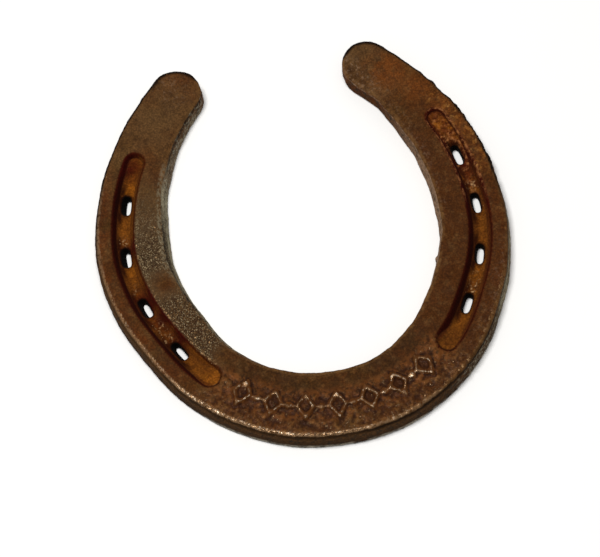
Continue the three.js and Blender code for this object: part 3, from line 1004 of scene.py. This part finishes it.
def add_creases(on, skin):
    skin = on.lay(skin, crease_floors(on), "crease_floor")
    skin = on.lay(skin, crease_walls(on), "crease_wall")
    # Painted shade round the nail holes
    skin = on.lay(skin, HOLE_MOUTH_SHADE, "shade_by_hole", strength=0.95)
    # Painted shade: a dark line inside the crease rims
    skin = on.lay(skin, DARK_RED_SHADE, "rim_shade_line", strength=0.8)
    return on.lay(skin, MAROON, "maroon", on.clouds(3.0, 0.9, 0.2, draw=27.0), strength=0.9)


def bar_walls(on):
    """The walls of the bar: greyer, with brown and dark scale, and on the toe darker towards the foot, with
    a light line painted along it as the table's reflection.
    """
    values = {"Value": on.mask["height"], "From Min": 0.15, "From Max": 0.65}
    upper = put(on.tree, "ShaderNodeMapRange", values).outputs[0]
    grey = mix_colours(on.tree, on.clouds(3.6, 0.35, 0.12, draw=12.0), WALL_GREY, WALL_BROWN)
    grey = on.lay(grey, WALL_BROWN, "left_heel_wall", upper)
    wall = mix_colours(on.tree, on.clouds(4.5, 0.5, 0.16, 0.6, 41.0), WALL_RUST, BRICK)
    wall = on.lay(wall, STAIN, on.clouds(2.2, 0.34, 0.12, 0.65, 42.0), strength=0.7)
    wall = on.lay(wall, INNER_BROWN, "right_inner")
    wall = on.lay(wall, grey, "grey_wall")
    toe_wall = mix_colours(on.tree, upper, TOE_WALL_DARK, TOE_WALL_BROWN)
    # A light line painted along the toe wall's foot, as the table's reflection
    toe_wall = on.lay(toe_wall, TABLE_REFLECTION_GREY, "toe_foot_reflection", on.clouds(5.0, 0.6, 0.1, draw=28.0), strength=0.8)
    wall = on.lay(wall, toe_wall, "toe_wall")
    wall = on.lay(wall, WALL_DARK, on.clouds(1.5, 0.36, 0.1, 0.65, 13.0), strength=0.85)
    wall = on.lay(wall, WALL_LIGHT, "light_wall", on.clouds(1.0, 0.4, 0.08, 0.65, 31.0), strength=0.65)
    return on.lay(wall, EDGE_LIGHT, "bevel_line", on.clouds(1.6, 0.45, 0.1, 0.65, 32.0), strength=0.6)


def add_mottling(on, skin, height):
    """Makes the tops of the finest crystals lighter than the gaps between them."""
    values = {"Value": height, "From Min": 0.5, "From Max": 0.95, "To Min": 0.6, "To Max": 1.4}
    speck = put(on.tree, "ShaderNodeMapRange", values).outputs[0]
    tint = put(on.tree, "ShaderNodeCombineColor", {0: speck, 1: speck, 2: speck}).outputs[0]
    return mix_colours(on.tree, 1.0, skin, tint, "MULTIPLY")


def add_grain(on, skin):
    """Sand grain inside the left branch, crusts on the right one, and specks on the edges and heels."""
    skin = on.lay(skin, GRAIN_GREY, "grey_grain", strength=0.6)
    inner_grain = on.where_all("grainy", "grainy")
    skin = on.lay(skin, GRAIN_DARK, inner_grain, on.clouds(0.5, 0.5, 0.08, 0.5, 17.0), strength=0.9)
    _, light_grains = on.crust(0.42, 0.29, 6.2)
    skin = on.lay(skin, GRAIN_LIGHT, inner_grain, light_grains, strength=0.95)
    skin = on.lay(skin, CRUST_TAN, "crusted", on.clouds(1.6, 0.34, 0.08, 0.65, 24.0), strength=0.5)
    skin = on.lay(skin, GOLDEN_SPECK, "crusted", on.clouds(1.8, 0.22, 0.06, 0.6, 44.0), strength=0.6)
    skin = on.lay(skin, WALL_GREY, "grey_edge", on.clouds(1.1, 0.5, 0.08, 0.65, 43.0), strength=0.3)
    return on.lay(skin, EDGE_LIGHT, "speckled", on.clouds(0.9, 0.32, 0.1, 0.65, 40.0), strength=0.34)


def add_dirt_and_shade(on, skin, rough_places):
    """Darker in the hollows and broad low places, crests rubbed light, and painted shade round the foot of
    the marks and along the edges.
    """
    dirty = calc(on.tree, "MULTIPLY_ADD", rough_places, 0.25, 0.3)
    skin = on.lay(skin, DIRT_AND_SHADE, "hollow", dirty)
    skin = on.lay(skin, DARK_RED_SHADE, "hollow", "rough_floor", strength=0.15)
    flecks = on.clouds(1.3, 0.45, 0.1, 0.65, 24.0)
    skin = on.lay(skin, FLECK_TAN, "crest", "rough_floor", flecks, strength=0.8)
    # Painted shade round the foot of the marks
    skin = on.lay(skin, DIRT_AND_SHADE, "mark_foot", strength=0.75)
    rubbed = on.clouds(2.0, 0.46, 0.1, draw=29.0)
    skin = on.lay(skin, RUBBED_BROWN, "crest", rough_places, rubbed, "scaly", strength=0.6)
    skin = on.lay(skin, TOE_RUST, "toe_middle", on.clouds(1.4, 0.52, 0.08, 0.65, 46.0), strength=0.65)
    skin = on.lay(skin, DIRT_AND_SHADE, "sunken", "scaly", strength=0.75)
    skin = on.lay(skin, CHOCOLATE, "mark", strength=0.6)
    rubbed = on.clouds(1.6, 0.5, 0.1, draw=30.0)
    skin = on.lay(skin, DUSTY_BROWN, "crest", "top_edge", rubbed, strength=0.5)
    skin = on.lay(skin, DARK_OLIVE, "toe_bevel", on.clouds(2.0, 0.7, 0.14, 0.6, 45.0), strength=0.75)
    # Painted shade: dark lines along the edges
    return on.lay(skin, EDGE_SHADE_BLACK, "shaded_edge_line", on.clouds(1.3, 0.85, 0.15, 0.6, 16.0))


def where_crystals(on, coarse_flecks):
    large = on.where_all(on.where_any("grainy", "sparkling", "flecked"), coarse_flecks)
    small = on.clouds(0.75, 0.36, 0.06, 0.5, 38.0)
    # Small crystals where the surface mirrors the lamps: lighter, partly as painted glints
    small = on.where_all(on.where_any("sparkling", "flecked"), "glint_side", small)
    return on.where_any(large, small)


def where_bare(on):
    """Where the iron is bare: along the toe's ridge, worn by rubbing, and on the marks and the scale where
    they mirror the lamps, lighter there partly as painted glints.
    """
    ridge = on.where_all("polished", on.clouds(1.0, 0.62, 0.05, 0.6, 21.0))
    marks = on.where_all("mark", "glint_side", on.clouds(2.4, 0.8, 0.06, 0.6, 33.0))
    scale = on.where_all("scaly", "glint_side", on.clouds(0.8, 0.26, 0.06, 0.6, 39.0))
    return on.where_any(ridge, marks, scale)


def rusted_iron(mask_names):
    on = Finish("rusted_iron_finish", mask_names)
    tree = on.tree
    fine_height, _ = on.crust(0.55, 0.24, 1.3)
    coarse_height, coarse_flecks = on.crust(0.8, 0.16, 4.1)
    rough_places = on.where_any("grainy", "crusted", "sparkling", "scaly", "rough_floor")
    walls = on.where_any("outer_wall", "inner_wall")
    crystals = where_crystals(on, coarse_flecks)
    bare = where_bare(on)
    glinting = either(tree, crystals, bare)

    skin = add_creases(on, brown_skin(on))
    skin = on.lay(skin, bar_walls(on), walls)
    skin = add_mottling(on, skin, fine_height)
    skin = add_grain(on, skin)
    skin = add_dirt_and_shade(on, skin, rough_places)
    foot_side = mix_colours(tree, on.clouds(6.0, 0.5, draw=14.0), CHOCOLATE, WALL_BROWN)
    skin = on.lay(skin, foot_side, "under")
    # Painted shade: the walls of the nail holes black
    skin = on.lay(skin, HOLE_SHADE_BLACK, "hole")
    # Lighter crystals, partly as painted glints
    skin = on.lay(skin, CRYSTAL_AND_GLINT, crystals)
    # Bare iron, lighter, partly as painted glints
    skin = on.lay(skin, BARE_IRON_AND_GLINT, bare)
    # Painted glints on the marks and the toe's ridge where they face the lamps
    glint_specks = on.clouds(0.6, 0.34, 0.05, 0.5, 47.0)
    skin = on.lay(skin, PAINTED_GLINT, on.where_any("mark", "polished"), "glint_side", glint_specks, strength=0.8)

    scaly = on.where_all("scaly", on.clouds(2.2, 0.6, 0.1, 0.6, 20.0))
    dull = on.where_any(walls, "hole", "shaded_edge_line", "crease_wall", "crease_floor")
    roughness = mix_values(tree, on.clouds(5.0, 0.5, 0.2, draw=15.0), SMOOTH_RUST, ROUGH_RUST)
    roughness = mix_values(tree, scaly, roughness, SHINY_SCALE)
    roughness = mix_values(tree, dull, roughness, DULL)
    roughness = mix_values(tree, glinting, roughness, GLINT)
    half_shiny = calc(tree, "MULTIPLY", crystals, 0.4)
    shiny = either(tree, half_shiny, bare, calc(tree, "MULTIPLY", scaly, 0.2))
    metallic = calc(tree, "MULTIPLY", shiny, 0.95)

    coarse = both(tree, coarse_height, calc(tree, "MULTIPLY_ADD", rough_places, 1.0, 0.1))
    relief = calc(tree, "ADD", calc(tree, "MULTIPLY", fine_height, 0.3), coarse)
    facets = both(tree, glinting, calc(tree, "MULTIPLY", fine_height, 1.3))
    relief = calc(tree, "ADD", relief, facets)
    values = {"Strength": 1.0, "Distance": RELIEF_DEPTH, "Height": relief}
    bump = put(tree, "ShaderNodeBump", values).outputs[0]

    shader = put(tree, "ShaderNodeBsdfPrincipled", {
        "Base Color": skin, "Roughness": roughness, "Metallic": metallic, "Normal": bump,
        "Specular IOR Level": 0.05,
    })
    output = put(tree, "ShaderNodeOutputMaterial")
    tree.links.new(shader.outputs[0], output.inputs["Surface"])
    return on.material


# The table and the room

TABLE_SIZE = 6
ROOM_BRIGHTNESS = 0.28


def seen_directly(tree):
    """1 for rays from the camera, and for mirrored and see-through rays."""
    path = put(tree, "ShaderNodeLightPath").outputs
    return either(tree, path["Is Camera Ray"], path["Is Glossy Ray"], path["Is Transmission Ray"])


def white_table():
    material = bpy.data.materials.new("white_table")
    material.use_nodes = True
    tree = material.node_tree
    tree.nodes.clear()
    lit = put(tree, "ShaderNodeBsdfDiffuse", {"Color": colour(0.85, 0.85, 0.85)}).outputs[0]
    dim = put(tree, "ShaderNodeBsdfDiffuse", {"Color": colour(0.95, 0.94, 0.92)}).outputs[0]
    glow = put(tree, "ShaderNodeEmission", {"Color": colour(1, 1, 1), "Strength": 0.04}).outputs[0]
    shown = put(tree, "ShaderNodeAddShader", {0: dim, 1: glow}).outputs[0]
    surface = put(tree, "ShaderNodeMixShader", {0: seen_directly(tree), 1: lit, 2: shown}).outputs[0]
    output = put(tree, "ShaderNodeOutputMaterial")
    tree.links.new(surface, output.inputs["Surface"])
    return material


def white_room(strength):
    world = bpy.data.worlds.new("white_room")
    bpy.context.scene.world = world
    world.use_nodes = True
    tree = world.node_tree
    tree.nodes.clear()
    brightness = mix_values(tree, seen_directly(tree), strength, 1.0)
    values = {"Color": colour(1, 1, 1), "Strength": brightness}
    back = put(tree, "ShaderNodeBackground", values).outputs[0]
    output = put(tree, "ShaderNodeOutputWorld")
    tree.links.new(back, output.inputs["Surface"])


def add_table():
    bpy.ops.object.select_all(action="DESELECT")
    bpy.ops.mesh.primitive_plane_add(size=TABLE_SIZE, location=(0, 0, 0))
    table = bpy.context.object
    table.name = "table"
    table.data.materials.append(white_table())


bpy.context.scene.view_settings.view_transform = "Standard"
add_camera()
add_softbox("key", place=(-0.30, 0.04, 1.12), size=0.28, watts=9.0)
add_softbox("overhead", place=(-0.03, -0.1, 1.15), size=0.12, watts=2.2)
white_room(ROOM_BRIGHTNESS)
add_table()

shoe = rough_casting()
survey = Survey(shoe.data)
wear(shoe, survey)
settle(shoe)
mask_names = paint_masks(shoe.data, survey)
shoe.vertex_groups.clear()
shoe.data.materials.clear()
shoe.data.materials.append(rusted_iron(mask_names))
select_only(shoe)
bpy.ops.object.shade_smooth()
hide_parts("horseshoe")
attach(shoe, "root")
